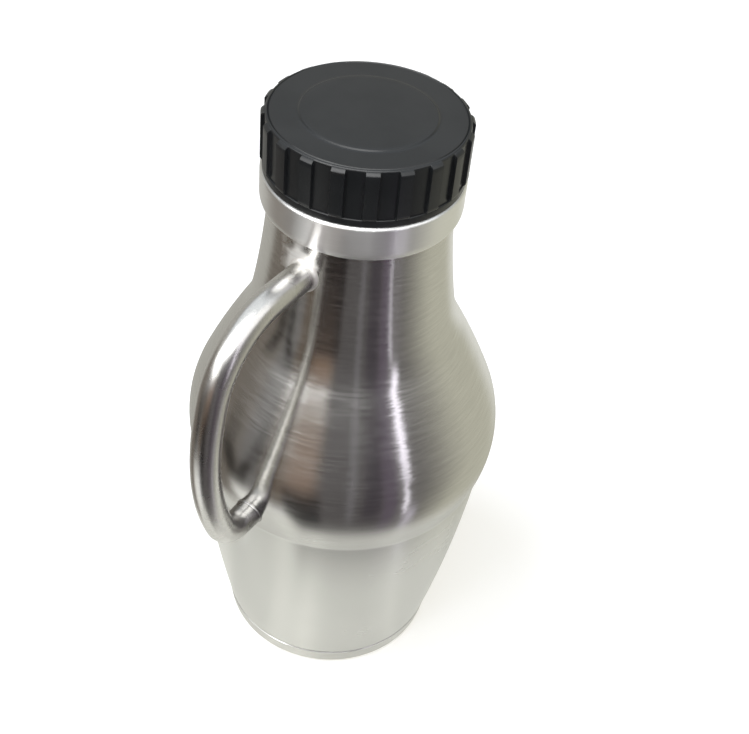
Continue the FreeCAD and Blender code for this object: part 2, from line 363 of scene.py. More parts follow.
# Zones of the upper shell and the handle, each with what it adds to the roughness and
# what it multiplies the colour by: below 1 is painted shade, above 1 a painted highlight
CREASE_ZONE = (110 * MM, 132 * MM)
# Crease: adds roughness; its shade factor below 1 is painted shade
CREASE_ROUGHNESS_AND_SHADE = (0.06, 0.9)
GROUND_OFFSET = (3 * MM, 6 * MM)  # sideways and up from where the stub's axis meets the neck
GROUND_AND_HIGHLIGHT_ZONE = (3 * MM, 12 * MM)
GROUND_FEATHER = 3 * MM
# Stub joint: adds roughness; its shade factor above 1 is a painted highlight
GROUND_ROUGHNESS_AND_HIGHLIGHT = (0.30, 1.45)
NECK_WELD_ZONE = (38.5 * MM, 40.5 * MM)
# Handle's neck end: adds roughness; its shade factor above 1 is a painted highlight
NECK_WELD_ROUGHNESS_AND_HIGHLIGHT = (0.30, 1.4)
FOOT_ZONE = (74 * MM, 84 * MM)
# Handle's foot: its shade factor below 1 is painted shade
FOOT_PAINTED_SHADE = (0.0, 0.55)
NECK_WELD_ABOVE = (200 * MM, 210 * MM)
FOOT_BELOW = (130 * MM, 140 * MM)

# Noises that are the same in all directions, as (scale, detail, roughness), and what they change
STEEL_PATCHES = (22.0, 3.0, 0.5)
STEEL_PATCH_SHADE = (0.96, 1.04)
STEEL_PATCH_ROUGHNESS = (-0.015, 0.02)
HANDLE_COLOUR = (0.66, 0.65, 0.63)
HANDLE_GRAIN = (900.0, 3.0, 0.6)
HANDLE_GRAIN_DEPTH = 0.012 * MM
HANDLE_SHADE = (0.93, 1.05)
HANDLE_PATCHES = (60.0, 3.0, 0.5)
HANDLE_ROUGHNESS = (0.24, 0.31)
CAP_COLOURS = ((0.0060, 0.0070, 0.0080, 1), (0.0080, 0.0090, 0.0100, 1))
CAP_GRAIN = (2600.0, 2.0, 0.5)
CAP_GRAIN_DEPTH = 0.02 * MM
CAP_PATCHES = (45.0, 3.0, 0.55)
CAP_PATCH_EDGE = (0.35, 0.65)
CAP_ROUGHNESS = (0.29, 0.35)
BUMP_STRENGTH = 0.3
GROUND_FEATHERS = (190.0, 2.0, 0.5)


def streaks_of(nodes, around, height, kind):
    """Noise stretched round the bottle."""
    per_turn, per_metre, detail, roughness = kind
    place = streak_coordinates(nodes, around, height, per_turn, per_metre)
    return nodes.noise(place, 1.0, detail, roughness)


def roughen_and_paint_light(nodes, shade, rough, mask, change):
    """Roughness raised and colour multiplied where the mask is 1: painted shade or a painted highlight.
    """
    rougher, painted_light = change
    rough = nodes.math("ADD", rough, nodes.times(mask, rougher))
    return nodes.times(shade, nodes.blend(mask, 1.0, painted_light)), rough


def brushed_steel(name, look, seams=(), zones=None):
    """Steel brushed round the axis: reflections smear up and down and have ragged sides.

    look is one of the steels above, seams are heights of fine dark lines, and zones is a
    function that returns masks of rougher places with painted shade or highlight, and what they change.
    """
    colour, roughness, anisotropic, brush, wobble = look
    material, nodes = new_material(name)
    place, around, height = round_coordinates(nodes)
    fine = streaks_of(nodes, around, height, FINE_STREAKS)
    coarse = streaks_of(nodes, around, height, COARSE_STREAKS)
    ragged = streaks_of(nodes, around, height, RAGGED_STREAKS)
    patches = nodes.noise(place, *STEEL_PATCHES)
    streaks = nodes.math("ADD", nodes.times(fine, FINE_SHARE), nodes.times(coarse, 1 - FINE_SHARE))

    shade = nodes.spread(streaks, 1 - BRUSH_SHADE * brush, 1 + BRUSH_SHADE * brush)
    shade = nodes.times(shade, nodes.spread(patches, *STEEL_PATCH_SHADE))
    rougher = BRUSH_ROUGHNESS * brush
    rough = nodes.spread(coarse, roughness - rougher, roughness + rougher)
    rough = nodes.math("ADD", rough, nodes.spread(patches, *STEEL_PATCH_ROUGHNESS))
    for seam in seams:
        away = nodes.math("ABSOLUTE", nodes.math("SUBTRACT", height, seam))
        shade = nodes.times(shade, nodes.between(away, *SEAM_LINE, SEAM_SHADE, 1.0))
    # Zones raise the roughness and paint shade or highlights into the colour
    for mask, change in (zones(nodes, place, height) if zones else ()):
        shade, rough = roughen_and_paint_light(nodes, shade, rough, mask, change)
    tint = nodes.vector("SCALE", colour, scale=shade)

    bump = nodes.bump(brush, BRUSH_DEPTH, streaks)
    sideways = nodes.vector("CROSS_PRODUCT", (0, 0, 1), around)
    sway = nodes.times(nodes.math("SUBTRACT", ragged, 0.5), wobble)
    swayed = nodes.vector("ADD", bump, nodes.vector("SCALE", sideways, scale=sway))
    normal = nodes.vector("NORMALIZE", swayed)
    tangent = nodes.add("ShaderNodeTangent", direction_type="RADIAL", axis="Z").outputs[0]
    shader = nodes.add("ShaderNodeBsdfPrincipled", {
        "Base Color": tint, "Metallic": 1.0, "Roughness": rough, "Normal": normal,
        "Anisotropic": anisotropic, "Anisotropic Rotation": 0.25, "Tangent": tangent,
    })
    finish_material(nodes, shader.outputs[0])
    return material


def upper_zones(nodes, place, height):
    """Rougher and darkened with painted shade towards the crease; rougher and lightened with a painted
    highlight where the handle's stub is welded on.
    """
    # Mask of the painted shade, with extra roughness, towards the crease
    crease = nodes.between(height, *CREASE_ZONE, 1.0, 0.0)
    aside, rise = GROUND_OFFSET
    joint = (-neck_radius(HANDLE_LINE_HEIGHT), aside, HANDLE_LINE_HEIGHT + rise)
    away = nodes.vector("LENGTH", nodes.vector("SUBTRACT", place, joint))
    feathers = nodes.noise(place, *GROUND_FEATHERS)
    away = nodes.math("ADD", away, nodes.spread(feathers, -GROUND_FEATHER, GROUND_FEATHER))
    # Mask of the painted highlight, with extra roughness, round the stub joint
    ground_and_highlight = nodes.between(away, *GROUND_AND_HIGHLIGHT_ZONE, 1.0, 0.0)
    return ((crease, CREASE_ROUGHNESS_AND_SHADE), (ground_and_highlight, GROUND_ROUGHNESS_AND_HIGHLIGHT))


def handle_steel():
    """Satin steel, rougher with a painted highlight where it meets the neck, and darkened with painted
    shade near the weld on the belly.
    """
    material, nodes = new_material("handle_steel")
    place, _, height = round_coordinates(nodes)
    grain = nodes.noise(place, *HANDLE_GRAIN)
    patches = nodes.noise(place, *HANDLE_PATCHES)
    shade = nodes.spread(grain, *HANDLE_SHADE)
    rough = nodes.spread(patches, *HANDLE_ROUGHNESS)
    reach = nodes.vector("LENGTH", nodes.vector("MULTIPLY", place, (1, 1, 0)))
    by_neck = nodes.between(reach, *NECK_WELD_ZONE, 1.0, 0.0)
    # Mask of the painted highlight, with extra roughness, at the handle's neck end
    joint = nodes.times(nodes.between(height, *NECK_WELD_ABOVE), by_neck)
    by_belly = nodes.between(reach, *FOOT_ZONE, 1.0, 0.0)
    # Mask of the painted shade at the handle's foot by the belly
    foot = nodes.times(nodes.between(height, *FOOT_BELOW, 1.0, 0.0), by_belly)
    shade, rough = roughen_and_paint_light(nodes, shade, rough, joint, NECK_WELD_ROUGHNESS_AND_HIGHLIGHT)
    shade, rough = roughen_and_paint_light(nodes, shade, rough, foot, FOOT_PAINTED_SHADE)
    tint = nodes.vector("SCALE", HANDLE_COLOUR, scale=shade)
    bump = nodes.bump(BUMP_STRENGTH, HANDLE_GRAIN_DEPTH, grain)
    shader = nodes.add("ShaderNodeBsdfPrincipled", {
        "Base Color": tint, "Metallic": 1.0, "Roughness": rough, "Normal": bump,
    })
    finish_material(nodes, shader.outputs[0])
    return material


def cap_plastic():
    """Satin black moulded plastic."""
    material, nodes = new_material("cap_plastic")
    place = nodes.add("ShaderNodeTexCoord").outputs["Object"]
    grain = nodes.noise(place, *CAP_GRAIN)
    patches = nodes.noise(place, *CAP_PATCHES)
    tint = nodes.mix(nodes.between(patches, *CAP_PATCH_EDGE), *CAP_COLOURS)
    rough = nodes.spread(patches, *CAP_ROUGHNESS)
    bump = nodes.bump(BUMP_STRENGTH, CAP_GRAIN_DEPTH, grain)
    shader = nodes.add("ShaderNodeBsdfPrincipled", {
        "Base Color": tint, "Roughness": rough, "Normal": bump, "IOR": 1.5,
    })
    finish_material(nodes, shader.outputs[0])
    return material


# === Bottle =========================================================================

def neck_centre():
    """Centre of the long hollow arc of the neck."""
    return on_circle((NECK_TOP_RADIUS, NECK_TOP_HEIGHT), NECK_ARC_RADIUS, NECK_TOP_SLOPE)


def neck_radius(height):
    """Radius of the neck at a height."""
    centre = neck_centre()
    return centre[0] - math.sqrt(NECK_ARC_RADIUS ** 2 - (height - centre[1]) ** 2)


def bearing(start, end):
    """Angle of the line between two (radius, height) pairs, from the outward direction."""
    return math.degrees(math.atan2(end[1] - start[1], end[0] - start[0]))


def hollow_centre(shoulder_centre):
    """Centre of the hollow arc that touches the shoulder's arc and the neck's arc."""
    neck = neck_centre()
    shoulder_reach = SHOULDER_RADIUS + HOLLOW_RADIUS
    neck_reach_in = NECK_ARC_RADIUS - HOLLOW_RADIUS
    gap = math.dist(shoulder_centre, neck)
    along = (gap ** 2 + shoulder_reach ** 2 - neck_reach_in ** 2) / (2 * gap)
    aside = math.sqrt(shoulder_reach ** 2 - along ** 2)
    foot = on_circle(shoulder_centre, along, bearing(shoulder_centre, neck))
    return on_circle(foot, aside, bearing(shoulder_centre, neck) + 90)


def crease_arc(first_share, last_share, steps):
    """Part of the soft hollow where the lower wall passes into the belly; share 0 is its foot."""
    rise = CREASE_HEIGHT - SEAM_HEIGHT
    wall_slope = math.degrees(math.atan((CREASE_RADIUS - BASE_SEAM_RADIUS - 4 * LOWER_BARREL) / rise))
    belly_slope = math.degrees(math.asin((BELLY_HEIGHT - CREASE_HEIGHT) / BELLY_ARC_RADIUS))
    run = CREASE_ROUNDING * math.tan(math.radians((belly_slope - wall_slope) / 2))
    start = on_circle((CREASE_RADIUS, CREASE_HEIGHT), -run, 90 - wall_slope)
    centre = on_circle(start, CREASE_ROUNDING, -wall_slope)
    first = wall_slope + (belly_slope - wall_slope) * first_share
    last = wall_slope + (belly_slope - wall_slope) * last_share
    return arc(centre, CREASE_ROUNDING, 180 - first, 180 - last, steps)


def make_base(material):
    """Base cup with a rounded foot and a pressed groove in its underside."""
    half = BASE_GROOVE_WIDTH / 2
    outline = [(0, 0)] + [(radius, 0) for radius in BASE_INNER_RINGS]
    for angle in range(180, -1, -15):
        across, deep = on_circle((0, 0), 1, angle)
        outline.append((BASE_GROOVE_RADIUS + half * across, BASE_GROOVE_DEPTH * deep))
    outline.append((BASE_OUTER_RING, 0))
    outline += arc((FOOT_RADIUS, FOOT_CORNER), FOOT_CORNER, -90, 0, 12)
    outline += straight(outline[-1], (BASE_SEAM_RADIUS, SEAM_HEIGHT - SEAM_BEVEL), 6)
    outline += [(BASE_SEAM_RADIUS - SEAM_BEVEL, SEAM_HEIGHT), (0, SEAM_HEIGHT)]
    settle(turned("base_cup_brushed", outline, material), "base_cup")


def make_lower_shell(material):
    """Tapering wall with a slight barrel, turning out softly at the crease."""
    bottom = (BASE_SEAM_RADIUS, SEAM_HEIGHT + SEAM_BEVEL)
    outline = [(0, SEAM_HEIGHT), (BASE_SEAM_RADIUS - SEAM_BEVEL, SEAM_HEIGHT), bottom]
    crease = crease_arc(0.0, 0.5, 6)
    wall = sagged(bottom, (CREASE_RADIUS, CREASE_HEIGHT), LOWER_BARREL, 60)
    outline += [pair for pair in wall if pair[1] < crease[0][1] - CREASE_CLEARANCE]
    outline += crease
    outline.append((0, outline[-1][1]))
    settle(turned("lower_shell_brushed", outline, material), "lower_shell")


def make_upper_shell(material):
    """Belly, shoulder and neck in one smooth outline."""
    belly_centre = (BELLY_RADIUS - BELLY_ARC_RADIUS, BELLY_HEIGHT)
    crease = crease_arc(0.5, 1.0, 6)
    belly_start = bearing(belly_centre, crease[-1])
    belly = arc(belly_centre, BELLY_ARC_RADIUS, belly_start, BELLY_END_SLOPE, 48)
    shoulder_centre = on_circle(belly[-1], -SHOULDER_RADIUS, BELLY_END_SLOPE)
    hollow = hollow_centre(shoulder_centre)
    steepest = bearing(shoulder_centre, hollow)
    meeting = bearing(hollow, neck_centre())
    outline = [(0, crease[0][1])] + crease
    outline += belly[1:]
    outline += arc(shoulder_centre, SHOULDER_RADIUS, BELLY_END_SLOPE, steepest, 16)[1:]
    outline += arc(hollow, HOLLOW_RADIUS, 180 + steepest, 180 + meeting, 20)[1:]
    outline += arc(neck_centre(), NECK_ARC_RADIUS, 180 + meeting, 180 + NECK_TOP_SLOPE, 16)[1:]
    outline.append((0, NECK_TOP_HEIGHT))
    settle(turned("upper_shell_brushed", outline, material), "upper_shell")


def make_collar(material):
    """Bright ring round the mouth: tucked in below, rounded at the lip."""
    drop = COLLAR_RADIUS - COLLAR_TUCK_RADIUS
    tuck_radius = (drop ** 2 + COLLAR_TUCK_HEIGHT ** 2) / (2 * drop)
    turn = math.degrees(math.asin(COLLAR_TUCK_HEIGHT / tuck_radius))
    low, high = COLLAR_LOW.z, COLLAR_TOP.z
    outline = [(0, low)]
    outline += arc((COLLAR_RADIUS - tuck_radius, low + COLLAR_TUCK_HEIGHT), tuck_radius, -turn, 0, 12)
    outline += straight(outline[-1], (COLLAR_RADIUS, high - COLLAR_LIP), 4)
    outline += arc((COLLAR_RADIUS - COLLAR_LIP, high - COLLAR_LIP), COLLAR_LIP, 0, 90, 10)[1:]
    outline.append((0, high))
    settle(turned("collar_bright", outline, material), "collar")


# === Cap ============================================================================

def rib_share(angle):
    """1 on a rib, 0 on a panel, with steep moulded sides."""
    place = (angle - RIB_TURN) % RIB_PITCH
    rise = min(max(place / RIB_SIDE_ANGLE, 0), 1)
    fall = min(max((RIB_ANGLE - place) / RIB_SIDE_ANGLE, 0), 1)
    share = min(rise, fall)
    return share * share * (3 - 2 * share)


def cap_turns():
    """Angles round the cap, dense at the sides of each rib."""
    side = [0, 0.14, 0.28, 0.41, RIB_SIDE_ANGLE]
    local = side + [1.6, 3.6, 5.6]
    local += [RIB_ANGLE - angle for angle in reversed(side)]
    local += [RIB_ANGLE + angle for angle in (1.6, 3.2, 4.8, 6.4, 8.0)]
    return [RIB_TURN + index * RIB_PITCH + angle for index in range(RIB_COUNT) for angle in local]


def both(pairs):
    """Profile rows that are the same on a rib as between ribs."""
    return [(radius, radius, height, height) for radius, height in pairs]


def cap_profile():
    """Rows of (radius between ribs, radius on a rib, height between ribs, height on a rib)."""
    low, high = CAP_LOW.z, CAP_TOP.z
    face = high - CAP_DISC_RISE
    rib_top = face - RIB_TOP_DROP
    rib_low = low + CAP_FLANGE_HEIGHT
    rib_depth = RIB_RADIUS - CAP_WALL_RADIUS
    bevel = CAP_FLANGE_BEVEL
    corner = CAP_FLANGE_RADIUS - bevel
    rows = both([(20 * MM, low), (36 * MM, low), (CAP_FLANGE_RADIUS - 2 * bevel, low)])
    rows += both(arc((corner, low + bevel), bevel, -90, 0, 4))
    rows += both(arc((corner, rib_low - bevel), bevel, 0, 60, 4))
    for part in (0.0, 0.5, 1.0):
        reach = CAP_WALL_RADIUS + rib_depth * (RIB_ROOT_SHARE + (1 - RIB_ROOT_SHARE) * part)
        height = rib_low + part * RIB_ROOT_HEIGHT
        rows.append((CAP_WALL_RADIUS, reach, height, height))
    wall_top = rib_top - RIB_BEVEL
    for part in (0.1, 0.3, 0.5, 0.7, 0.9):
        height = rib_low + (wall_top - rib_low) * part
        rows.append((CAP_WALL_RADIUS, RIB_RADIUS, height, height))
    for angle in range(0, 91, 10):
        turn = math.radians(angle)
        reach = CAP_WALL_RADIUS + rib_depth * math.cos(turn) ** BEVEL_FLATNESS
        share = math.sin(turn) ** BEVEL_FLATNESS
        wall_height = wall_top + (face - CAP_SHOULDER_DROP - wall_top) * share
        rows.append((CAP_WALL_RADIUS, reach, wall_height, rib_top - RIB_BEVEL * (1 - share)))
    half = CAP_GROOVE_WIDTH / 2
    outer = CAP_GROOVE_RADIUS + half
    for angle in range(10, 91, 10):
        turn = math.radians(angle)
        radius = outer + (CAP_WALL_RADIUS - outer) * math.cos(turn)
        height = face - CAP_SHOULDER_DROP * (1 - math.sin(turn))
        rows.append((radius, radius, height, max(height, rib_top)))
    groove = ((0.5, 0.6), (0.0, 1.0), (-0.5, 0.6), (-1.0, 0.0))
    for side, deep in groove:
        rows += both([(CAP_GROOVE_RADIUS + side * half, face - deep * CAP_GROOVE_DEPTH)])
    rows += both([(35 * MM, face), (31 * MM, face), (CAP_DISC_RADIUS + 1.4 * MM, face)])
    for part, rise in CAP_DISC_EDGE:
        radius = CAP_DISC_RADIUS + CAP_DISC_EDGE_WIDTH * (0.5 - part)
        rows += both([(radius, face + CAP_DISC_RISE * rise)])
    return rows + both([(24 * MM, high), (16 * MM, high), (8 * MM, high)])


def make_cap(material):
    """Moulded screw cap with grip ribs, grooved top and raised disc."""
    turns = cap_turns()
    shares = [rib_share(angle) for angle in turns]
    rows = [[(0, 0, CAP_LOW.z)]]
    for panel, rib, panel_height, rib_height in cap_profile():
        row = []
        for angle, share in zip(turns, shares):
            radius = panel + (rib - panel) * share
            height = panel_height + (rib_height - panel_height) * share
            turn = math.radians(angle)
            row.append((radius * math.cos(turn), radius * math.sin(turn), height))
        rows.append(row)
    rows.append([(0, 0, CAP_TOP.z)])
    piece = grid_object("screw_cap_moulded", rows, material, CAP_SHARP_ANGLE)
    settle(piece, "screw_cap")


# === Handle =========================================================================

def handle_bend(start, radius, heading_in, heading_out, steps):
    """Points (distance, height, heading) along one arc of the handle's line."""
    points = []
    first = math.radians(heading_in)
    for i in range(1, steps + 1):
        heading = heading_in + (heading_out - heading_in) * i / steps
        turn = math.radians(heading)
        out = start[0] + radius * (math.sin(turn) - math.sin(first))
        down = start[1] - radius * (math.cos(first) - math.cos(turn))
        points.append((out, down, heading))
    return points


def handle_line():
    """Bent part of the centre line as (distance from the axis, height, heading); 90 is down."""
    line = handle_bend((HANDLE_STUB_END, HANDLE_LINE_HEIGHT), UPPER_BEND_RADIUS, 0.0, UPPER_BEND_TURN, 40)
    line += handle_bend(line[-1], GRIP_RADIUS, UPPER_BEND_TURN, GRIP_TURN, 44)
    lower_radius = (line[-1][1] - HANDLE_FOOT_HEIGHT) / (1 + math.cos(math.radians(GRIP_TURN)))
    return line + handle_bend(line[-1], lower_radius, GRIP_TURN, 180.0, 28)


def belly_reach(side, rise):
    """Distance from the YZ plane to the belly at a sideways and upward offset from the foot's axis."""
    drop = HANDLE_FOOT_HEIGHT + rise - BELLY_HEIGHT
    radius = BELLY_RADIUS - BELLY_ARC_RADIUS + math.sqrt(BELLY_ARC_RADIUS ** 2 - drop ** 2)
    return math.sqrt(radius ** 2 - side ** 2)


def neck_reach(side, rise):
    """Distance from the YZ plane to the neck at an offset from the stub's axis."""
    return math.sqrt(neck_radius(HANDLE_LINE_HEIGHT + rise) ** 2 - side ** 2)


def stub_rows(circle):
    """Rings from the neck, round the hollow flare and out to where the bending starts."""
    rows = []
    for angle in range(0, 91, 9):
        turn = math.radians(angle)
        radius = TUBE_RADIUS + FLARE_RADIUS * (1 - math.sin(turn))
        lift = FLARE_RADIUS * (1 - math.cos(turn)) - (SUNK if angle == 0 else 0)
        ring_points = [(radius * a, radius * b) for a, b in circle]
        rows.append([(-(neck_reach(y, z) + lift), y, HANDLE_LINE_HEIGHT + z) for y, z in ring_points])
    for step in range(1, 11):
        share = step / 10
        row = []
        for a, b in circle:
            y, z = TUBE_RADIUS * a, TUBE_RADIUS * b
            out = (neck_reach(y, z) + FLARE_RADIUS) * (1 - share) + HANDLE_STUB_END * share
            row.append((-out, y, HANDLE_LINE_HEIGHT + z))
        rows.append(row)
    return rows


def foot_rows(circle, first):
    """Rings from the end of the bending to the belly, the last ones over the weld bead."""
    rows = []
    for step in range(1, 7):
        share = step / 6
        row = []
        for a, b in circle:
            y, z = TUBE_RADIUS * a, -TUBE_RADIUS * b
            out = first * (1 - share) + (belly_reach(y, z) + BEAD_WIDTH) * share
            row.append((-out, y, HANDLE_FOOT_HEIGHT + z))
        rows.append(row)
    for angle in range(15, 91, 15):
        turn = math.radians(angle)
        radius = TUBE_RADIUS + BEAD_RISE * math.sin(turn)
        lift = BEAD_WIDTH * math.cos(turn) - (SUNK if angle == 90 else 0)
        ring_points = [(radius * a, -radius * b) for a, b in circle]
        rows.append([(-(belly_reach(y, z) + lift), y, HANDLE_FOOT_HEIGHT + z) for y, z in ring_points])
    return rows


def make_handle(material):
    """Bent tube: flared on to the neck, welded on to the belly with a thin bead."""
    turns = [2 * math.pi * i / TUBE_SIDES for i in range(TUBE_SIDES)]
    circle = [(math.sin(turn), math.cos(turn)) for turn in turns]
    rows = stub_rows(circle)
    line = handle_line()
    for distance, height, heading in line:
        turn = math.radians(heading)
        row = []
        for a, b in circle:
            rise = TUBE_RADIUS * b
            out = distance + rise * math.sin(turn)
            row.append((-out, TUBE_RADIUS * a, height + rise * math.cos(turn)))
        rows.append(row)
    rows += foot_rows(circle, line[-1][0])
    first = [(END_INSET - neck_radius(HANDLE_LINE_HEIGHT), 0, HANDLE_LINE_HEIGHT)]
    last = [(END_INSET - belly_reach(0, 0), 0, HANDLE_FOOT_HEIGHT)]
    settle(grid_object("handle_tube", [first] + rows + [last], material), "handle")


# === Surroundings ===================================================================

# Soft panels of the studio as the steel sees them, each over the ones before it:
# (middle azimuth, half width, edge, lean, lowest elevation, highest, edge, colour);
# the lean is how far the panel's middle moves for each degree of elevation.
PANELS = {
    "ceiling": (0, 180, 1, 0, 36, 95, 20, (1.00, 1.05, 1.09)),
    "back_wall": (70, 55, 20, 0, -95, 30, 20, (0.50, 0.49, 0.45)),
    "left_wall": (118, 24, 14, 0, -95, 12, 16, (0.20, 0.175, 0.15)),
    "warm_wall": (332, 44, 52, 0, -95, 24, 20, (0.59, 0.58, 0.48)),
    "left_table": (146, 18, 8, 0, -95, -42, 5, (1.25, 1.25, 1.20)),
    "left_glint": (168, 7, 5, 0, -62, -45, 4, (1.4, 1.4, 1.4)),
    "pale_side": (10, 18, 26, 0, -38, -12, 14, (0.88, 0.88, 0.82)),
    "photographer": (216, 34, 8, 0, -95, 34, 10, (0.098, 0.090, 0.090)),
    "pale_post": (222, 2.5, 5, 0, -45, 26, 10, (0.185, 0.175, 0.185)),
    "dark_side": (236, 6, 5, 0, -42, 14, 8, (0.06, 0.05, 0.06)),
    "violet_edge": (246, 5, 5, -0.1, -95, 20, 10, (0.125, 0.10, 0.13)),
    "left_gloom": (171, 12, 8, 0, -38, 12, 10, (0.12, 0.088, 0.062)),
    "brown_patch": (188, 10, 13, 0, -30, 12, 8, (0.25, 0.165, 0.115)),
    "dark_patch": (189, 13, 6, 0, -54, -17, 6, (0.004, 0.003, 0.004)),
    "right_finger": (158, 4, 4, 0.47, -38, 4, 4, (0.02, 0.016, 0.012)),
    "left_finger": (128, 6, 5, -0.3, -38, -8, 6, (0.02, 0.016, 0.012)),
    "left_window": (150, 26, 10, 0, 20, 74, 10, (3.2, 3.2, 3.2)),
    "pale_patch": (184, 13, 10, 0, 18.5, 29, 4, (2.0, 2.0, 1.95)),
    "left_lamp": (168, 8, 5, 0, 22, 50, 8, (8.0, 8.0, 8.0)),
    "right_window": (277, 26, 8, 0, 22, 62, 8, (1.6, 1.6, 1.6)),
    "front_lamp": (200, 48, 16, 0, 40, 85, 8, (4.8, 4.8, 4.8)),
    "high_strip": (257.5, 2.5, 2.5, -0.2, -6, 40, 5, (2.1, 2.0, 2.25)),
    "low_strip": (264.5, 3, 3, -0.1, -60, -40, 8, (0.75, 0.70, 0.82)),
}
ROOM_COLOUR = (0.17, 0.16, 0.155, 1)  # between the panels
MATT_LIGHT = (0.62, 0.63, 0.64, 1)
BACKGROUND_WHITE = (1.0, 1.0, 0.985, 1)

# How much brighter or darker the table is round the foot, for everything but the camera:
# (middle azimuth, half width, edge, factor)
FLOOR_BANDS = (
    (155, 20, 14, 0.86),
    (199, 5, 14, 1.10),
    (228, 17, 18, 0.92),
    (257, 4, 8, 1.06),
    (322, 18, 24, 0.88),
)
FLOOR_HALF_SIZE = 4.0
FLOOR_MATT = (0.86, 0.86, 0.80)
FLOOR_BRIGHT = (0.90, 0.90, 0.84, 1)
FLOOR_BRIGHT_SHARE = 0.6
FLOOR_FADE = (0.105, 0.150)  # distance from the axis over which the steel loses the table
FLOOR_LONG_SIDE = (172, 10, 22, 0.70)  # azimuth, half width, its end, share of the distance counted
FLOOR_SHADED = (0.66, 0.70, 0.81)
FLOOR_GLOW = (0.47, 0.43, 0.31, 1)
FLOOR_PATCHES = (3.0, 2.0, 0.5)  # scale, detail, roughness
FLOOR_PATCH_SHADE = (0.97, 1.03)

CARD_AZIMUTH = 250.0
CARD_DISTANCE = 0.22
CARD_HALF_WIDTH = 0.035
CARD_HEIGHT = 0.17
CARD_COLOUR = (0.98, 0.94, 1.04, 1)
CARD_LEAN = (0.06, 0.15, 0.012, 0.003)  # from height, to height, sideways place at each
CARD_GLOW = (0.05, 0.14, 1.7, 0.7)  # from height, to height, strength at each
CARD_SOFT_SIDE = (0.001, 0.009)
CARD_SOFT_TOP = (0.135, 0.160)


def bearing_from(nodes, place, middle):
    """Signed angle in degrees from an azimuth to a place or direction."""
    turn = math.radians(middle)
    ahead = nodes.vector("DOT_PRODUCT", place, (math.cos(turn), math.sin(turn), 0))
    aside = nodes.vector("DOT_PRODUCT", place, (-math.sin(turn), math.cos(turn), 0))
    return nodes.times(nodes.math("ARCTAN2", aside, ahead), math.degrees(1))


def soft_span(nodes, distance, half, edge, inside, outside):
    """Value that is inside up to half, outside beyond it, with a soft edge between."""
    away = nodes.math("ABSOLUTE", distance)
    return nodes.between(away, half - edge / 2, half + edge / 2, inside, outside)


def make_world():
    """White to the camera, soft and even to matt surfaces, panels to the steel."""
    world = bpy.data.worlds.new("studio")
    bpy.context.scene.world = world
    world.use_nodes = True
    nodes = Nodes(world.node_tree)
    direction = nodes.vector("NORMALIZE", nodes.add("ShaderNodeTexCoord").outputs["Generated"])
    up = nodes.add("ShaderNodeSeparateXYZ", {0: direction}).outputs[2]
    elevation = nodes.times(nodes.math("ARCSINE", up), math.degrees(1))
    colour = ROOM_COLOUR
    for middle, half, edge, lean, low, high, fade, tint in PANELS.values():
        bearing = bearing_from(nodes, direction, middle)
        leaned = nodes.math("SUBTRACT", bearing, nodes.times(elevation, lean))
        across = soft_span(nodes, leaned, half, edge, 1.0, 0.0)
        above = nodes.between(elevation, low - fade / 2, low + fade / 2)
        below = nodes.between(elevation, high - fade / 2, high + fade / 2, 1.0, 0.0)
        colour = nodes.mix(nodes.times(across, nodes.times(above, below)), colour, (*tint, 1))
    path = nodes.add("ShaderNodeLightPath").outputs
    soft = nodes.mix(path["Is Diffuse Ray"], colour, MATT_LIGHT)
    seen = nodes.mix(path["Is Camera Ray"], soft, BACKGROUND_WHITE)
    background = nodes.add("ShaderNodeBackground", {"Color": seen, "Strength": 1.0})
    nodes.add("ShaderNodeOutputWorld", {"Surface": background.outputs[0]})


def floor_material():
    """White table top: the camera sees it lit through, the steel sees only the near part."""
    material, nodes = new_material("table_white")
    place = nodes.add("ShaderNodeTexCoord").outputs["Object"]
    path = nodes.add("ShaderNodeLightPath").outputs
    glossy = path["Is Glossy Ray"]

    band = 1.0
    for middle, half, edge, factor in FLOOR_BANDS:
        away = bearing_from(nodes, place, middle)
        band = nodes.times(band, soft_span(nodes, away, half, edge, factor, 1.0))
    matt_colour = nodes.vector("SCALE", FLOOR_MATT, scale=band)
    matt = nodes.add("ShaderNodeBsdfDiffuse", {"Color": matt_colour}).outputs[0]
    bright = nodes.add("ShaderNodeEmission", {"Color": FLOOR_BRIGHT, "Strength": band}).outputs[0]
    table = nodes.shared(nodes.times(glossy, FLOOR_BRIGHT_SHARE), matt, bright)

    middle, start, end, shorter = FLOOR_LONG_SIDE
    away = nodes.math("ABSOLUTE", bearing_from(nodes, place, middle))
    reach = nodes.vector("LENGTH", place)
    counted = nodes.times(reach, nodes.between(away, start, end, shorter, 1.0))
    clear = nodes.add("ShaderNodeBsdfTransparent").outputs[0]
    near = nodes.shared(nodes.times(glossy, nodes.between(counted, *FLOOR_FADE)), table, clear)

    tone = nodes.spread(nodes.noise(place, *FLOOR_PATCHES), *FLOOR_PATCH_SHADE)
    shaded_colour = nodes.vector("SCALE", FLOOR_SHADED, scale=tone)
    shaded = nodes.add("ShaderNodeBsdfDiffuse", {"Color": shaded_colour}).outputs[0]
    glow = nodes.add("ShaderNodeEmission", {"Color": FLOOR_GLOW, "Strength": 1.0}).outputs[0]
    seen = nodes.add("ShaderNodeAddShader", {0: shaded, 1: glow}).outputs[0]
    finish_material(nodes, nodes.shared(path["Is Camera Ray"], near, seen))
    return material


def make_floor():
    """Level table top at the foot of the bottle."""
    half = FLOOR_HALF_SIZE
    corners = [(-half, -half, 0), (half, -half, 0), (half, half, 0), (-half, half, 0)]
    flat_panel("floor", corners, floor_material())


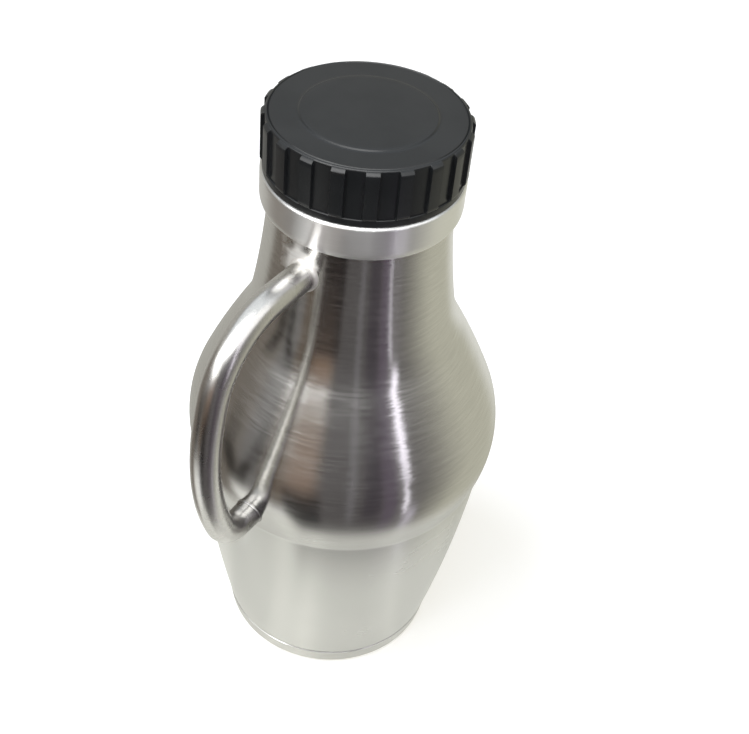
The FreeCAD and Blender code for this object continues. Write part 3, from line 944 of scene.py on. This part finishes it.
def card_material():
    """Glow with soft sides and a soft top, leaning a little; clear elsewhere."""
    material, nodes = new_material("light_card")
    place = nodes.add("ShaderNodeTexCoord").outputs["Object"]
    aside, _, up = nodes.add("ShaderNodeSeparateXYZ", {0: place}).outputs
    leaned = nodes.math("SUBTRACT", aside, nodes.linear(up, *CARD_LEAN))
    middle = nodes.between(nodes.math("ABSOLUTE", leaned), *CARD_SOFT_SIDE, 1.0, 0.0)
    ends = nodes.between(up, *CARD_SOFT_TOP, 1.0, 0.0)
    glow = nodes.linear(up, *CARD_GLOW)
    light = nodes.add("ShaderNodeEmission", {"Color": CARD_COLOUR, "Strength": glow}).outputs[0]
    clear = nodes.add("ShaderNodeBsdfTransparent").outputs[0]
    finish_material(nodes, nodes.shared(nodes.times(middle, ends), clear, light))
    return material


def make_light_card():
    """Slim glowing upright beside the bottle that only the steel sees: its long highlight."""
    half = CARD_HALF_WIDTH
    corners = [(-half, 0, 0), (half, 0, 0), (half, 0, CARD_HEIGHT), (-half, 0, CARD_HEIGHT)]
    card = flat_panel("light_card", corners, card_material())
    azimuth = math.radians(CARD_AZIMUTH)
    card.location = (CARD_DISTANCE * math.cos(azimuth), CARD_DISTANCE * math.sin(azimuth), 0)
    card.rotation_euler = (0, 0, azimuth + math.radians(90))
    card.visible_camera = False
    card.visible_diffuse = False
    card.visible_shadow = False


LAMP_AZIMUTH = 132
LAMP_ELEVATION = 68
LAMP_DISTANCE = 1.3
LAMP_SIZE = 0.55
LAMP_POWER = 9.0


def make_lamp():
    """Area lamp aimed at the middle of the bottle; the steel sees the panels instead of it."""
    data = bpy.data.lights.new("key", "AREA")
    data.shape = "DISK"
    data.size = LAMP_SIZE
    data.energy = LAMP_POWER
    lamp = bpy.data.objects.new("key", data)
    turn, rise = math.radians(LAMP_AZIMUTH), math.radians(LAMP_ELEVATION)
    out = Vector((math.cos(turn) * math.cos(rise), math.sin(turn) * math.cos(rise), math.sin(rise)))
    middle = (CAD_LOW + CAD_HIGH) / 2
    lamp.location = middle + out * LAMP_DISTANCE
    lamp.rotation_mode = "QUATERNION"
    lamp.rotation_quaternion = out.to_track_quat("Z", "Y")
    lamp.visible_glossy = False
    bpy.context.scene.collection.objects.link(lamp)


CAMERA_PLACE = (0, -0.3912, 0.5163)  # before the turn about the axis
CAMERA_TURN = -58.5
CAMERA_YAW = 1.788
CAMERA_PITCH = 42.754
CAMERA_ROLL = -6.254
CAMERA_LENS = 57.97
CAMERA_SENSOR = 36.0


def make_camera():
    """View from above on the handle's side, slightly rolled."""
    yaw, pitch, roll = (math.radians(angle) for angle in (CAMERA_YAW, CAMERA_PITCH, CAMERA_ROLL))
    ahead = Vector((math.sin(yaw) * math.cos(pitch), math.cos(yaw) * math.cos(pitch), -math.sin(pitch)))
    right = Vector((math.cos(yaw), -math.sin(yaw), 0))
    down = ahead.cross(right)
    image_right = math.cos(roll) * right + math.sin(roll) * down
    image_down = -math.sin(roll) * right + math.cos(roll) * down
    axes = Matrix((image_right, -image_down, -ahead)).transposed()
    spin = Matrix.Rotation(math.radians(CAMERA_TURN), 3, "Z")
    data = bpy.data.cameras.new("camera")
    data.lens = CAMERA_LENS
    data.sensor_width = CAMERA_SENSOR
    data.clip_start = 0.01
    camera = bpy.data.objects.new("camera", data)
    camera.matrix_world = Matrix.Translation(spin @ Vector(CAMERA_PLACE)) @ (spin @ axes).to_4x4()
    bpy.context.scene.collection.objects.link(camera)
    bpy.context.scene.camera = camera


# === Scene ==========================================================================

make_base(brushed_steel("base_steel", BASE_STEEL, seams=(SEAM_HEIGHT,)))
make_lower_shell(brushed_steel("lower_shell_steel", LOWER_STEEL, seams=(SEAM_HEIGHT,)))
make_upper_shell(brushed_steel("upper_shell_steel", UPPER_STEEL, zones=upper_zones))
make_collar(brushed_steel("collar_steel", COLLAR_STEEL))
make_cap(cap_plastic())
make_handle(handle_steel())
make_world()
make_floor()
make_light_card()
make_lamp()
make_camera()

bpy.context.scene.view_settings.view_transform = "Standard"
